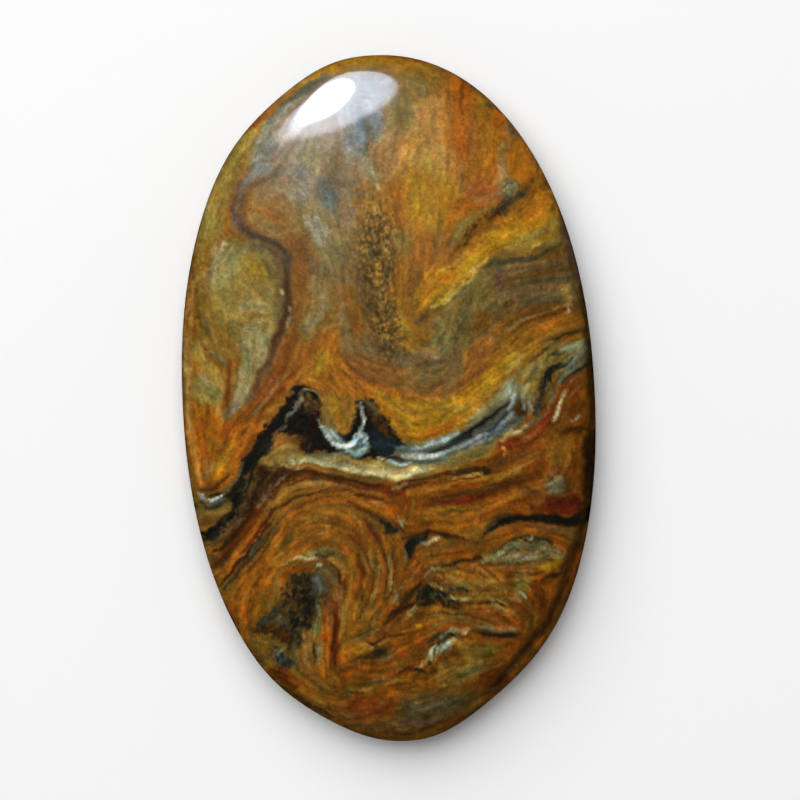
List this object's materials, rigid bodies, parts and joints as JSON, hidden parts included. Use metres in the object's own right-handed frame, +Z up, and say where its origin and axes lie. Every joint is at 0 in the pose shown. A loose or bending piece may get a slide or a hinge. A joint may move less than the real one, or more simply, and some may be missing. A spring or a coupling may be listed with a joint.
{
  "type": "pietersite cabochon",
  "caption": "Polished oval pietersite cabochon with a low dome, narrow girdle and flat back, patterned in swirled gold, rust, olive and blue-black.",
  "frame": {"origin": "centre of the outline on the flat back, which is the surface that the stone rests on", "axes": "+Z up out of the dome's crown, +Y along the long axis towards the end that is at the top of the picture, +X across"},
  "size_m": [0.027, 0.045, 0.006],
  "materials": {
    "pietersite": "polished"
  },
  "bodies": {
    "root": {"cabochon": "pietersite"}
  },
  "joints": []
}
